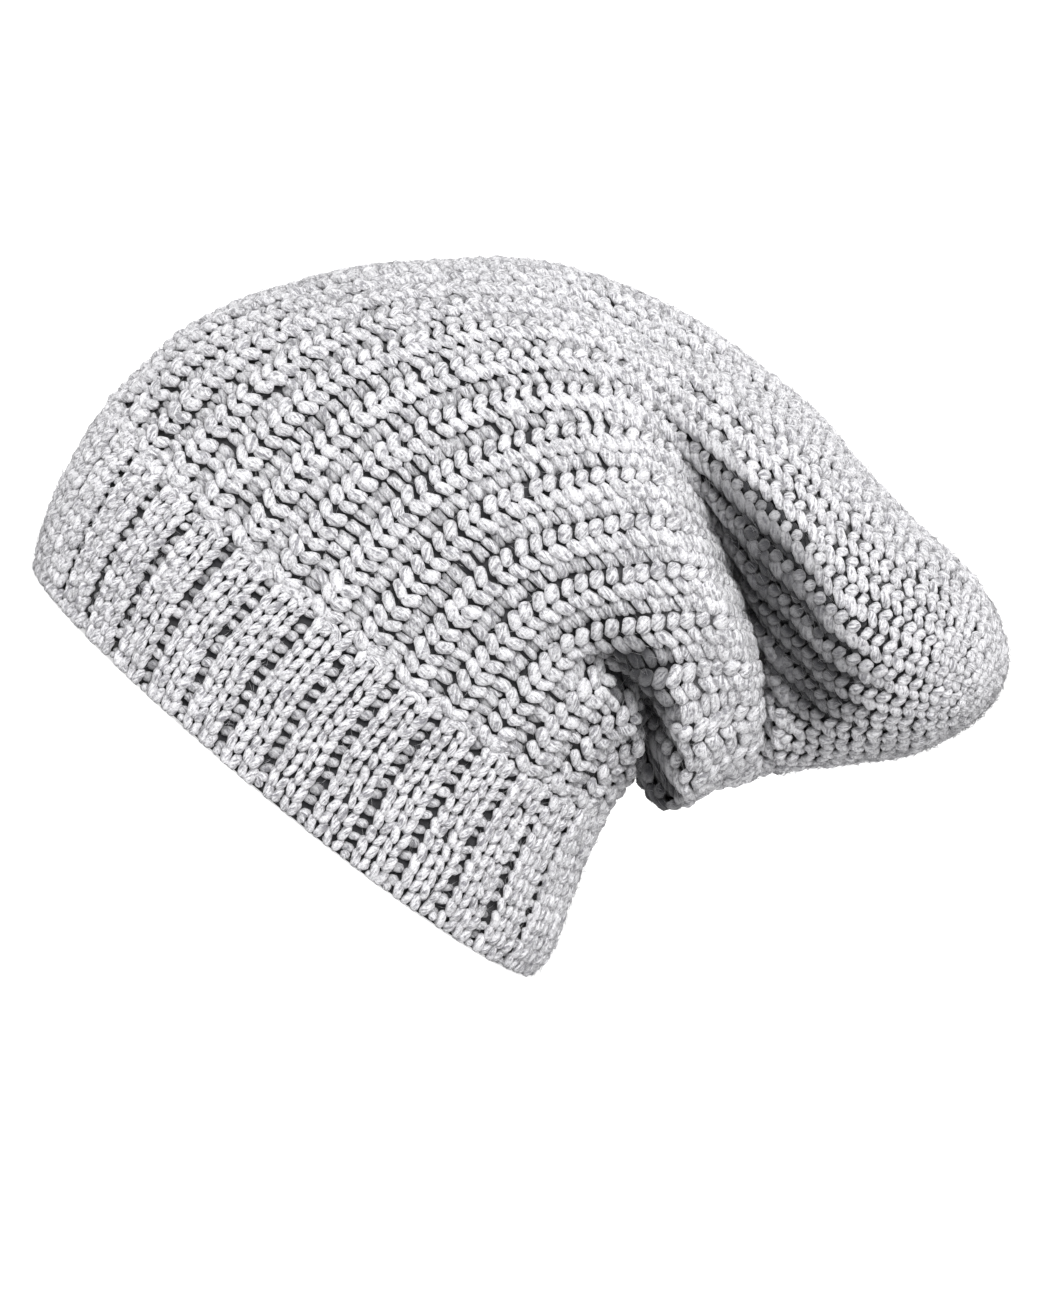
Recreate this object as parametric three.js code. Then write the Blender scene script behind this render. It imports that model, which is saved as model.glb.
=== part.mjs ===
// A slouchy knitted beanie that stands on its rim: a ribbed band round the head and a long
// soft crown that rises over the dome, folds over the nape and ends in a gathered tip.
// Millimetres, +Z up, forehead towards -X, tail towards +X, rim on Z = 0.
import * as THREE from 'three';

// Driving sizes
const HEAD_LENGTH = 199; // forehead to nape, across the top of the band
const HEAD_WIDTH = 158; // side to side at the rim
const BAND_HEIGHT = 54.5; // rim to the row where the ribbing ends
const CROWN_HEIGHT = 137; // top of the band to the highest stitch
const TAIL_LENGTH = 70; // how far the tip hangs out behind the nape
const KNIT_THICKNESS = 5.2; // from the face of a rib to the inside of the hat
const RIB_COUNT = 34; // ribs round the head, the same in the band and in the crown
const BAND_GROOVE_DEPTH = 2.6; // the narrow groove between two ribs of the band
const CROWN_GROOVE_DEPTH = 1.9; // the wider, shallower groove between columns of the crown
const SEAM_GAP = 0.3; // between the last row of the band and the first of the crown

// Shares of one rib
const BAND_GROOVE_SHARE = 0.3; // from the middle of a groove to where the rib is flat
const CROWN_GROOVE_SHARE = 0.36;
const CROWN_RIB_SHIFT = -1 / 3; // the crown's grooves lie this much beside the band's
const CREASED_RIB_SHARE = 0.25; // what is left of a groove in the middle of a deep fold
const DEEP_INWARD = 0.042; // folds at least this deep are deep ones, as in the table of folds
const DEEP_SQUEEZE = 0.25;

// Facets
const FACETS_PER_RIB = 4;
const OUTER_SIDES = RIB_COUNT * FACETS_PER_RIB;
const INNER_SIDES = 2 * RIB_COUNT;
const STEP = 0.002; // the small step by which slopes of the surface are taken
const FACE_SAMPLE_ROWS = 90; // rows of places of the face that the inside keeps away from
const INSIDE_PASSES = 8;
const INSIDE_EASE = 0.04; // folds are this much wider on the inside

// Sections of the band, from the rim upwards.
// height is a share of BAND_HEIGHT; front and back are places along the hat, 0 at the
// forehead, 1 at the nape and 2 at the tip; half is a share of HEAD_WIDTH; lead is how many
// degrees the ribs at the sides are drawn towards the forehead.
const BAND_SECTIONS = [
  { height: 0.0, front: 0.075, back: 1.198, half: 0.5, lead: 6 },
  { height: 0.14, front: 0.055, back: 1.205, half: 0.504, lead: 6 },
  { height: 0.26, front: 0.04, back: 1.18, half: 0.506, lead: 5 },
  { height: 0.48, front: 0.022, back: 1.118, half: 0.51, lead: 4 },
  { height: 0.72, front: 0.009, back: 1.055, half: 0.514, lead: 2 },
  { height: 1.0, front: 0.0, back: 1.0, half: 0.514, lead: 0 },
];

// Sections of the crown, each an oval through a point of the outline over the dome and a
// point of the outline at the nape. at runs from the band to the tip; front and back are
// places along the hat as above; top and low are the heights of those two points and arch
// lifts the section's middle, as shares of CROWN_HEIGHT; half is a share of HEAD_WIDTH;
// skew widens the upper side of the oval; lead as in the band.
const CROWN_SECTIONS = [
  { at: 0.0, front: 0.0, top: 0.0, back: 1.0, low: 0.0,
    half: 0.514, arch: 0.0, skew: 0.0, lead: 0 },
  { at: 0.08, front: 0.015, top: 0.195, back: 0.997, low: 0.08,
    half: 0.522, arch: 0.055, skew: 0.0, lead: 2 },
  { at: 0.12, front: 0.04, top: 0.305, back: 1.0, low: 0.113,
    half: 0.525, arch: 0.09, skew: 0.0, lead: 4 },
  { at: 0.16, front: 0.07, top: 0.39, back: 1.045, low: 0.14,
    half: 0.525, arch: 0.12, skew: 0.0, lead: 6 },
  { at: 0.2, front: 0.108, top: 0.47, back: 1.125, low: 0.16,
    half: 0.525, arch: 0.15, skew: 0.0, lead: 8 },
  { at: 0.25, front: 0.16, top: 0.575, back: 1.26, low: 0.186,
    half: 0.524, arch: 0.17, skew: 0.0, lead: 10 },
  { at: 0.32, front: 0.248, top: 0.7, back: 1.36, low: 0.236,
    half: 0.514, arch: 0.186, skew: 0.03, lead: 11 },
  { at: 0.4, front: 0.36, top: 0.837, back: 1.42, low: 0.28,
    half: 0.494, arch: 0.155, skew: 0.08, lead: 10 },
  { at: 0.48, front: 0.485, top: 0.923, back: 1.455, low: 0.306,
    half: 0.476, arch: 0.086, skew: 0.16, lead: 8 },
  { at: 0.59, front: 0.66, top: 0.98, back: 1.507, low: 0.34,
    half: 0.467, arch: 0.036, skew: 0.28, lead: 5 },
  { at: 0.69, front: 0.84, top: 0.99, back: 1.578, low: 0.38,
    half: 0.451, arch: 0.014, skew: 0.34, lead: 2 },
  { at: 0.76, front: 0.963, top: 0.96, back: 1.65, low: 0.417,
    half: 0.427, arch: 0.0, skew: 0.34, lead: 0 },
  { at: 0.83, front: 1.236, top: 0.94, back: 1.733, low: 0.465,
    half: 0.388, arch: 0.0, skew: 0.3, lead: 0 },
  { at: 0.89, front: 1.516, top: 0.935, back: 1.827, low: 0.515,
    half: 0.33, arch: 0.0, skew: 0.24, lead: 0 },
  { at: 0.93, front: 1.693, top: 0.916, back: 1.89, low: 0.56,
    half: 0.267, arch: 0.0, skew: 0.16, lead: 0 },
  { at: 0.97, front: 1.87, top: 0.87, back: 1.96, low: 0.64,
    half: 0.173, arch: 0.0, skew: 0.08, lead: 0 },
  { at: 0.99, front: 1.95, top: 0.828, back: 1.99, low: 0.703,
    half: 0.09, arch: 0.0, skew: 0.0, lead: 0 },
  { at: 1.0, front: 2.0, top: 0.77, back: 2.0, low: 0.77,
    half: 0.0, arch: 0.0, skew: 0.0, lead: 0 },
];

// Folds of the crown. around is where the fold's middle lies, in degrees from the forehead
// past the near side, and reach how far it goes to each side of that; edge above 1 keeps it
// deep almost to its ends; drift turns the fold's middle, in degrees for the whole length;
// at and spread are its place and half width along the crown, and bow bends it towards the
// tip between its middle and its ends. inward is its depth as a share of HEAD_WIDTH, less
// than 0 for a fold that stands out; squeeze is the share of the hat's own width that it
// takes away there; drop is how far it hangs, as a share of CROWN_HEIGHT.
const CROWN_FOLDS = [
  { name: 'crease at the nape', around: 180, reach: 62, edge: 3, drift: 0, at: 0.15,
    spread: 0.055, bow: 0.062, inward: 0.095, squeeze: 0, drop: -0.014 },
  { name: 'roll over the crease', around: 180, reach: 64, edge: 2, drift: 0, at: 0.2,
    spread: 0.07, bow: 0.065, inward: -0.016, squeeze: 0, drop: 0.068 },
  { name: 'near hollow', around: 112, reach: 62, edge: 1, drift: 0, at: 0.475,
    spread: 0.115, bow: 0, inward: 0, squeeze: 0.36, drop: 0 },
  { name: 'far hollow', around: 248, reach: 62, edge: 1, drift: 0, at: 0.475,
    spread: 0.105, bow: 0, inward: 0, squeeze: 0.26, drop: 0 },
  { name: 'near valley beside the roll', around: 146, reach: 40, edge: 1, drift: 0, at: 0.445,
    spread: 0.1, bow: 0, inward: 0.045, squeeze: 0, drop: 0 },
  { name: 'far valley beside the roll', around: 214, reach: 40, edge: 1, drift: 0, at: 0.445,
    spread: 0.1, bow: 0, inward: 0.045, squeeze: 0, drop: 0 },
  { name: 'near valley under the lobe', around: 102, reach: 26, edge: 1, drift: 0, at: 0.58,
    spread: 0.18, bow: 0, inward: 0.04, squeeze: 0, drop: 0 },
  { name: 'far valley under the lobe', around: 258, reach: 26, edge: 1, drift: 0, at: 0.58,
    spread: 0.18, bow: 0, inward: 0.025, squeeze: 0, drop: 0 },
  { name: 'near ridge', around: 120, reach: 58, edge: 1, drift: 0, at: 0.345,
    spread: 0.08, bow: 0, inward: 0, squeeze: -0.09, drop: 0 },
  { name: 'far ridge', around: 240, reach: 58, edge: 1, drift: 0, at: 0.345,
    spread: 0.08, bow: 0, inward: 0, squeeze: -0.07, drop: 0 },
  { name: 'shoulder of the tail', around: 80, reach: 36, edge: 1, drift: 0, at: 0.69,
    spread: 0.24, bow: 0, inward: -0.031, squeeze: 0, drop: 0 },
  { name: 'slack under the tail', around: 134, reach: 40, edge: 1, drift: 0, at: 0.64,
    spread: 0.16, bow: 0, inward: 0, squeeze: 0.12, drop: 0 },
  { name: 'valley along the top', around: 24, reach: 22, edge: 1, drift: -92, at: 0.54,
    spread: 0.24, bow: 0, inward: 0.039, squeeze: 0, drop: 0 },
];

// The folds that the inside follows, which are those that reach in, and the deep ones, in
// which the cloth is pressed so that its ribs flatten
const INSIDE_FOLDS = CROWN_FOLDS.filter((fold) => fold.inward >= 0 && fold.squeeze >= 0);
const isDeep = (fold) => fold.inward >= DEEP_INWARD || fold.squeeze >= DEEP_SQUEEZE;
const DEEP_FOLDS = CROWN_FOLDS.filter(isDeep);

// Rows of facets, closer together in the folds and at the tip
const BAND_ROWS = [0, 0.3, 0.65, 1];
const CROWN_ROWS = [
  0, 0.06, 0.1, 0.125, 0.147, 0.17, 0.195, 0.222, 0.25, 0.285, 0.33, 0.38, 0.43,
  0.475, 0.52, 0.57, 0.63, 0.7, 0.77, 0.84, 0.9, 0.945, 0.98, 1,
];

// The place along X of a share: up to 1 on the head, past it on the tail
function alongHat(share) {
  return HEAD_LENGTH * Math.min(share, 1) + TAIL_LENGTH * Math.max(share - 1, 0);
}

const bandTable = BAND_SECTIONS.map((row) => ({
  at: row.height,
  front: alongHat(row.front),
  back: alongHat(row.back),
  top: BAND_HEIGHT * row.height,
  low: BAND_HEIGHT * row.height,
  half: HEAD_WIDTH * row.half,
  arch: 0,
  skew: 0,
  lead: row.lead,
}));

const crownBase = BAND_HEIGHT + SEAM_GAP;
const crownTable = CROWN_SECTIONS.map((row) => ({
  at: row.at,
  front: alongHat(row.front),
  back: alongHat(row.back),
  top: crownBase + CROWN_HEIGHT * row.top,
  low: crownBase + CROWN_HEIGHT * row.low,
  half: HEAD_WIDTH * row.half,
  arch: CROWN_HEIGHT * row.arch,
  skew: row.skew,
  lead: row.lead,
}));

// Slope of a column at row i that never overshoots the rows beside it
function slopeAt(table, key, i) {
  const last = table.length - 1;
  const rise = (k) => (table[k + 1][key] - table[k][key]) / (table[k + 1].at - table[k].at);
  if (i === 0) return rise(0);
  if (i === last) return rise(last - 1);
  const before = rise(i - 1);
  const after = rise(i);
  if (before * after <= 0) return 0;
  const stepBefore = table[i].at - table[i - 1].at;
  const stepAfter = table[i + 1].at - table[i].at;
  const weightBefore = 2 * stepAfter + stepBefore;
  const weightAfter = stepAfter + 2 * stepBefore;
  return (weightBefore + weightAfter) / (weightBefore / before + weightAfter / after);
}

// A smooth curve through one column of a table
function smoothColumn(table, key) {
  const slopes = table.map((row, i) => slopeAt(table, key, i));
  return (at) => {
    let i = 0;
    while (i < table.length - 2 && at >= table[i + 1].at) i += 1;
    const step = table[i + 1].at - table[i].at;
    const t = (at - table[i].at) / step;
    const start = (1 + 2 * t) * (1 - t) ** 2 * table[i][key];
    const end = t * t * (3 - 2 * t) * table[i + 1][key];
    const bend = t * (1 - t) * ((1 - t) * slopes[i] - t * slopes[i + 1]);
    return start + end + step * bend;
  };
}

function smoothTable(table) {
  const keys = ['front', 'back', 'top', 'low', 'half', 'arch', 'skew', 'lead'];
  const columns = keys.map((key) => [key, smoothColumn(table, key)]);
  return (at) => Object.fromEntries(columns.map(([key, column]) => [key, column(at)]));
}

const bandSection = smoothTable(bandTable);
const crownSection = smoothTable(crownTable);

// 1 in the middle, falling smoothly to 0 at a distance of 1
function bell(distance) {
  return 0.5 + 0.5 * Math.cos(Math.PI * Math.min(Math.abs(distance), 1));
}

// Places round the section so that ribs of one width go all round an oval
function angleOnSection(section, turn) {
  const long = Math.hypot(section.front - section.back, section.top - section.low) / 2;
  const oval = (long - section.half) / Math.max(long + section.half, STEP);
  const lead = THREE.MathUtils.degToRad(section.lead);
  return turn + 0.5 * oval * Math.sin(2 * turn) - lead * Math.sin(turn);
}

// A point of an oval section: turn 0 at the forehead, a quarter turn on the near side
function pointOnSection(section, angle) {
  const cos = Math.cos(angle);
  const halfX = (section.front - section.back) / 2;
  const halfZ = (section.top - section.low) / 2;
  const long = Math.max(Math.hypot(halfX, halfZ), STEP);
  const lift = section.arch * (1 - cos ** 4);
  return new THREE.Vector3(
    (section.front + section.back) / 2 + halfX * cos + (halfZ / long) * lift,
    -section.half * Math.sin(angle) * (1 + section.skew * cos),
    (section.top + section.low) / 2 + halfZ * cos - (halfX / long) * lift,
  );
}

// How strongly one fold acts at a place of the crown, 0 to 1; ease widens it
function foldStrength(fold, angle, at, ease = 0) {
  const middle = fold.around + fold.drift * (at - fold.at);
  const degrees = THREE.MathUtils.radToDeg(angle) - middle;
  const aside = (THREE.MathUtils.euclideanModulo(degrees + 180, 360) - 180) / fold.reach;
  const line = fold.at + fold.bow * Math.sin(Math.PI * aside) ** 2;
  return bell(Math.abs(aside) ** fold.edge) * bell((at - line) / (fold.spread + ease));
}

function bandSurface(turn, at) {
  const section = bandSection(at);
  return pointOnSection(section, angleOnSection(section, turn));
}

// The face of the crown's ribs, with every fold; ease widens the folds
function crownSurface(turn, at, folds = CROWN_FOLDS, ease = 0) {
  const section = crownSection(at);
  const angle = angleOnSection(section, turn);
  const point = pointOnSection(section, angle);
  const halfX = (section.front - section.back) / 2;
  const halfZ = (section.top - section.low) / 2;
  const long = Math.max(Math.hypot(halfX, halfZ), STEP);
  const outX = (halfX / long) * Math.cos(angle);
  const outY = -Math.sin(angle);
  const outZ = (halfZ / long) * Math.cos(angle);
  for (const fold of folds) {
    const strength = foldStrength(fold, angle, at, ease);
    const depth = strength * fold.inward * HEAD_WIDTH;
    point.x -= depth * outX;
    point.y = point.y * (1 - strength * fold.squeeze) - depth * outY;
    point.z -= depth * outZ + strength * fold.drop * CROWN_HEIGHT;
  }
  return point;
}

// The direction straight out of the cloth
function outward(surface, turn, at) {
  const low = Math.max(at - STEP, 0);
  const high = Math.min(at, 1 - 2 * STEP) + STEP;
  const place = Math.min(at, 1 - STEP);
  const round = surface(turn + STEP, place).sub(surface(turn - STEP, place));
  const along = surface(turn, high).sub(surface(turn, Math.min(low, high - STEP)));
  return round.cross(along).normalize();
}

// Depth of the groove at a place round the hat, 1 in the middle of a groove, 0 on a rib
function groove(ribs, share) {
  const fromGroove = Math.abs(ribs - Math.round(ribs));
  return bell(fromGroove / share);
}

function bandOuter(turn, at) {
  const ribs = (turn / (2 * Math.PI)) * RIB_COUNT;
  const depth = BAND_GROOVE_DEPTH * groove(ribs, BAND_GROOVE_SHARE);
  const point = bandSurface(turn, at);
  const level = point.z;
  point.addScaledVector(outward(bandSurface, turn, at), -depth);
  point.z = level;
  return point;
}

function bandInner(turn, at) {
  const point = bandSurface(turn, at);
  const level = point.z;
  point.addScaledVector(outward(bandSurface, turn, at), -KNIT_THICKNESS);
  point.z = level;
  return point;
}

function crownOuter(turn, at) {
  const ribs = (turn / (2 * Math.PI)) * RIB_COUNT - CROWN_RIB_SHIFT;
  const angle = angleOnSection(crownSection(at), turn);
  const creased = Math.max(...DEEP_FOLDS.map((fold) => foldStrength(fold, angle, at)));
  const gathered = bell((1 - at) / (1 - CROWN_ROWS.at(-4)));
  const kept = (1 - (1 - CREASED_RIB_SHARE) * creased) * (1 - gathered);
  const depth = CROWN_GROOVE_DEPTH * kept * groove(ribs, CROWN_GROOVE_SHARE);
  const point = crownSurface(turn, at);
  const level = point.z;
  point.addScaledVector(outward(crownSurface, turn, at), -depth);
  if (at === 0) point.z = level;
  return point;
}

// Places of the crown's face, close together, from which the inside keeps its distance
function faceSamples() {
  const samples = [];
  for (let row = 0; row <= FACE_SAMPLE_ROWS; row += 1) {
    for (let side = 0; side < OUTER_SIDES; side += 1) {
      samples.push(crownSurface((2 * Math.PI * side) / OUTER_SIDES, row / FACE_SAMPLE_ROWS));
    }
  }
  return samples;
}

const crownFace = faceSamples();

// The inside of the crown: the face set in by the knit's thickness, then moved away from the
// nearest place of the face, a few times over, where a fold would leave the wall too thin
function crownInner(turn, at) {
  const eased = (t, a) => crownSurface(t, a, INSIDE_FOLDS, INSIDE_EASE);
  const point = eased(turn, at);
  const level = point.z;
  point.addScaledVector(outward(eased, turn, at), -KNIT_THICKNESS);
  for (let pass = 0; pass < INSIDE_PASSES; pass += 1) {
    let nearest = crownFace[0];
    for (const place of crownFace) {
      if (place.distanceToSquared(point) < nearest.distanceToSquared(point)) nearest = place;
    }
    const away = point.clone().sub(nearest);
    point.addScaledVector(away.clone().normalize(), Math.max(KNIT_THICKNESS - away.length(), 0));
  }
  if (at === 0) point.z = level;
  return point;
}

// A closed wall between an outer and an inner surface. Rows run upwards; where the last
// row is a tip, both surfaces end in one point there.
function wallGeometry(outer, inner, rows, turnStart, hasTip) {
  const positions = [];
  const triangles = [];
  const rings = hasTip ? rows.length - 1 : rows.length;
  const ratio = OUTER_SIDES / INNER_SIDES;

  const addSurface = (surface, sides) => {
    const first = positions.length / 3;
    for (let row = 0; row < rings; row += 1) {
      for (let side = 0; side < sides; side += 1) {
        const turn = turnStart + (2 * Math.PI * side) / sides;
        positions.push(...surface(turn, rows[row]).toArray());
      }
    }
    return (row, side) => first + row * sides + (side % sides);
  };

  // faces point out of the outer surface, and into the hollow on the inner one
  const addFace = (a, b, c, out) => triangles.push(...(out ? [a, b, c] : [a, c, b]));
  const skin = (index, sides, out) => {
    for (let row = 0; row + 1 < rings; row += 1) {
      for (let side = 0; side < sides; side += 1) {
        addFace(index(row, side), index(row, side + 1), index(row + 1, side + 1), out);
        addFace(index(row, side), index(row + 1, side + 1), index(row + 1, side), out);
      }
    }
  };

  const closeTip = (index, sides, tip, out) => {
    positions.push(...tip.toArray());
    const last = positions.length / 3 - 1;
    for (let side = 0; side < sides; side += 1) {
      addFace(index(rings - 1, side), index(rings - 1, side + 1), last, out);
    }
  };

  const closeEdge = (outside, inside, row, out) => {
    for (let side = 0; side < INNER_SIDES; side += 1) {
      const middle = ratio * side + ratio / 2;
      for (let k = 0; k < ratio; k += 1) {
        const near = inside(row, k < ratio / 2 ? side : side + 1);
        addFace(outside(row, ratio * side + k), near, outside(row, ratio * side + k + 1), out);
      }
      addFace(outside(row, middle), inside(row, side), inside(row, side + 1), out);
    }
  };

  const outside = addSurface(outer, OUTER_SIDES);
  const inside = addSurface(inner, INNER_SIDES);
  skin(outside, OUTER_SIDES, true);
  skin(inside, INNER_SIDES, false);
  closeEdge(outside, inside, 0, true);
  if (hasTip) {
    const tip = outer(turnStart, 1);
    closeTip(outside, OUTER_SIDES, tip, true);
    closeTip(inside, INNER_SIDES, tip.clone().setX(tip.x - KNIT_THICKNESS), false);
  } else {
    closeEdge(outside, inside, rings - 1, false);
  }

  const geometry = new THREE.BufferGeometry();
  geometry.setAttribute('position', new THREE.Float32BufferAttribute(positions, 3));
  geometry.setIndex(triangles);
  geometry.computeVertexNormals();
  return geometry;
}

function yarn(color) {
  return new THREE.MeshStandardMaterial({ color, roughness: 0.95, metalness: 0 });
}

function ribbedBrim() {
  const geometry = wallGeometry(bandOuter, bandInner, BAND_ROWS, 0, false);
  const mesh = new THREE.Mesh(geometry, yarn(0xd9d8dc));
  mesh.name = 'ribbed_brim';
  return mesh;
}

function slouchCrown() {
  const start = (CROWN_RIB_SHIFT * 2 * Math.PI) / RIB_COUNT;
  const geometry = wallGeometry(crownOuter, crownInner, CROWN_ROWS, start, true);
  const mesh = new THREE.Mesh(geometry, yarn(0xdddce0));
  mesh.name = 'slouch_crown';
  return mesh;
}

// The hat stands with its rim on Z = 0 and the middle of its outline over the origin
function slouchyBeanie() {
  const hat = new THREE.Group();
  hat.add(ribbedBrim(), slouchCrown());
  const middle = new THREE.Box3().setFromObject(hat).getCenter(new THREE.Vector3());
  hat.children.forEach((mesh) => mesh.position.set(-middle.x, -middle.y, 0));
  return hat;
}

export default slouchyBeanie();
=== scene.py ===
# %% [markdown]
# # A slouchy knitted beanie
#
# The hat is one long tube of thick, soft, light grey yarn. A ribbed band holds it on the head,
# and above the band the tube rises over the dome, folds over the nape and ends in a gathered
# tip. Here the tube is first a smooth surface of two numbers: a turn round the hat, and a
# place from the rim to the tip. Every stitch is then laid on that surface as its own little
# piece of yarn, because the light catches single stitches on the real hat, and a bump on a
# plain skin can't cast their shadows.

import math

import bpy
import numpy as np
from mathutils import Matrix, Vector


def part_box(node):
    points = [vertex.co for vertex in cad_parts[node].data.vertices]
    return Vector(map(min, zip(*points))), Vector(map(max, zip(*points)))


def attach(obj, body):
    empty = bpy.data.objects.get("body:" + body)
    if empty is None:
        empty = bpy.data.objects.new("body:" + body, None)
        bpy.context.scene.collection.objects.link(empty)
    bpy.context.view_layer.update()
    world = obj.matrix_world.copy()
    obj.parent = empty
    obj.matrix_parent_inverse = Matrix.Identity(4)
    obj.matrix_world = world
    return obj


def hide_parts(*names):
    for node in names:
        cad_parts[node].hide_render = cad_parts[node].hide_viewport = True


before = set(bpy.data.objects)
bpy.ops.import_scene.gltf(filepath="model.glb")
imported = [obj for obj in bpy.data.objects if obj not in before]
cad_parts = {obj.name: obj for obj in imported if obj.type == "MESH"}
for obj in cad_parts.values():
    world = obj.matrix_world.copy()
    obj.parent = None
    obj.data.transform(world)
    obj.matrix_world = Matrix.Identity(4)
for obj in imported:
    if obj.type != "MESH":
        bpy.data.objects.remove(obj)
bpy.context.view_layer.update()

# %% [markdown]
# ## The sizes
#
# The hat's own sizes are those of its solids, in millimetres. The tables give the sections of
# the tube as shares of those sizes, so the knitting lies on the same form as the solids. The
# last table says where the folds keep the light away, and there the yarn gets painted shade;
# on the stretched ridges it is painted lighter. That could be left to the lamps alone, but the
# real cloth sinks deeper behind its folds than a wall that must not cross itself.

# %% Sizes in millimetres
HEAD_LENGTH = 199.0
HEAD_WIDTH = 158.0
BAND_HEIGHT = 54.5
CROWN_HEIGHT = 137.0
TAIL_LENGTH = 70.0
KNIT_THICKNESS = 5.2
RIB_COUNT = 34
SEAM_GAP = 0.3
CROWN_RIB_SHIFT = -1 / 3  # the crown's ribs stand this much of a rib beside the band's
STEP = 0.002  # the small step by which slopes of the surface are taken
TINY = 1e-9  # keeps a division from failing where a length is zero
MM = 0.001

# Sections of the band. height: share of the band's height; front and back: places along the
# hat, 0 at the forehead, 1 at the nape and 2 at the tip; half: share of the head's width;
# lead: degrees by which the ribs at the sides are drawn towards the forehead.
BAND_SECTIONS = np.array([
    (0.00, 0.075, 1.198, 0.500, 6),
    (0.14, 0.055, 1.205, 0.504, 6),
    (0.26, 0.040, 1.180, 0.506, 5),
    (0.48, 0.022, 1.118, 0.510, 4),
    (0.72, 0.009, 1.055, 0.514, 2),
    (1.00, 0.000, 1.000, 0.514, 0),
])

# Sections of the crown. at: place from the band, 0, to the tip, 1; front, back, half and
# lead as above; top and low: height over the band of its two ends, and arch: how far its
# middle is lifted, all shares of the crown's height; skew: above 0 the section is wider at
# its upper end.
CROWN_SECTIONS = np.array([
    (0.00, 0.000, 0.000, 1.000, 0.000, 0.514, 0.000, 0.00, 0),
    (0.08, 0.015, 0.195, 0.997, 0.080, 0.522, 0.055, 0.00, 2),
    (0.12, 0.040, 0.305, 1.000, 0.113, 0.525, 0.090, 0.00, 4),
    (0.16, 0.070, 0.390, 1.045, 0.140, 0.525, 0.120, 0.00, 6),
    (0.20, 0.108, 0.470, 1.125, 0.160, 0.525, 0.150, 0.00, 8),
    (0.25, 0.160, 0.575, 1.260, 0.186, 0.524, 0.170, 0.00, 10),
    (0.32, 0.248, 0.700, 1.360, 0.236, 0.514, 0.186, 0.03, 11),
    (0.40, 0.360, 0.837, 1.420, 0.280, 0.494, 0.155, 0.08, 10),
    (0.48, 0.485, 0.923, 1.455, 0.306, 0.476, 0.086, 0.16, 8),
    (0.59, 0.660, 0.980, 1.507, 0.340, 0.467, 0.036, 0.28, 5),
    (0.69, 0.840, 0.990, 1.578, 0.380, 0.451, 0.014, 0.34, 2),
    (0.76, 0.963, 0.960, 1.650, 0.417, 0.427, 0.000, 0.34, 0),
    (0.83, 1.236, 0.940, 1.733, 0.465, 0.388, 0.000, 0.30, 0),
    (0.89, 1.516, 0.935, 1.827, 0.515, 0.330, 0.000, 0.24, 0),
    (0.93, 1.693, 0.916, 1.890, 0.560, 0.267, 0.000, 0.16, 0),
    (0.97, 1.870, 0.870, 1.960, 0.640, 0.173, 0.000, 0.08, 0),
    (0.99, 1.950, 0.828, 1.990, 0.703, 0.090, 0.000, 0.00, 0),
    (1.00, 2.000, 0.770, 2.000, 0.770, 0.000, 0.000, 0.00, 0),
])

# Folds of the crown: around, reach, edge, drift, at, spread, bow, inward, squeeze, drop.
# around and reach: the fold's middle and half width in degrees of turn; edge: above 1 it
# stays deep almost to its ends; drift: degrees that the middle turns over the whole length;
# at and spread: its place and half width along the crown; bow: how far it bends towards the
# tip beside its middle; inward: depth as a share of the head's width; squeeze: share of the
# width taken away; drop: how far it hangs, as a share of the crown's height.
CROWN_FOLDS = {
    "crease at the nape": (180, 62, 3, 0, 0.150, 0.055, 0.062, 0.095, 0.00, -0.014),
    "roll over the crease": (180, 64, 2, 0, 0.200, 0.070, 0.065, -0.016, 0.00, 0.068),
    "near hollow": (112, 62, 1, 0, 0.475, 0.115, 0.000, 0.000, 0.36, 0.000),
    "far hollow": (248, 62, 1, 0, 0.475, 0.105, 0.000, 0.000, 0.26, 0.000),
    "near valley beside the roll": (146, 40, 1, 0, 0.445, 0.100, 0.000, 0.045, 0.00, 0.000),
    "far valley beside the roll": (214, 40, 1, 0, 0.445, 0.100, 0.000, 0.045, 0.00, 0.000),
    "near valley under the lobe": (102, 26, 1, 0, 0.580, 0.180, 0.000, 0.040, 0.00, 0.000),
    "far valley under the lobe": (258, 26, 1, 0, 0.580, 0.180, 0.000, 0.025, 0.00, 0.000),
    "near ridge": (120, 58, 1, 0, 0.345, 0.080, 0.000, 0.000, -0.09, 0.000),
    "far ridge": (240, 58, 1, 0, 0.345, 0.080, 0.000, 0.000, -0.07, 0.000),
    "shoulder of the tail": (80, 36, 1, 0, 0.690, 0.240, 0.000, -0.031, 0.00, 0.000),
    "slack under the tail": (134, 40, 1, 0, 0.640, 0.160, 0.000, 0.000, 0.12, 0.000),
    "valley along the top": (24, 22, 1, -92, 0.540, 0.240, 0.000, 0.039, 0.00, 0.000),
}

# Painted shade, where the light is lost: seven values as above, and the share of light that the
# painted shade takes away. A strength below 0 stands for stretched cloth, where the stitches lie
# flat and the yarn is painted lighter.
CROWN_SHADES = {
    "in the near hollow": (97, 42, 3, 45, 0.610, 0.24, 0, 0.95),
    "in the far hollow": (263, 42, 3, -45, 0.610, 0.24, 0, 0.60),
    "under the near lobe": (128, 34, 2, 45, 0.665, 0.20, 0, 0.50),
    "under the far lobe": (232, 34, 2, -45, 0.665, 0.20, 0, 0.45),
    "behind the near hollow": (106, 30, 2, 30, 0.745, 0.16, 0, 0.72),
    "behind the far hollow": (250, 28, 2, -30, 0.745, 0.15, 0, 0.40),
    "in the crease": (180, 66, 8, 0, 0.208, 0.074, 0, 1.0),
    "flat stitches and painted light on the near ridge": (132, 62, 2, -330, 0.325, 0.13, 0, -1.2),
    "flat stitches and painted light on the far ridge": (228, 62, 2, 330, 0.325, 0.13, 0, -1.2),
}

print(len(CROWN_SECTIONS), "sections,", len(CROWN_FOLDS), "folds and", len(CROWN_SHADES),
      "shades")

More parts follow.
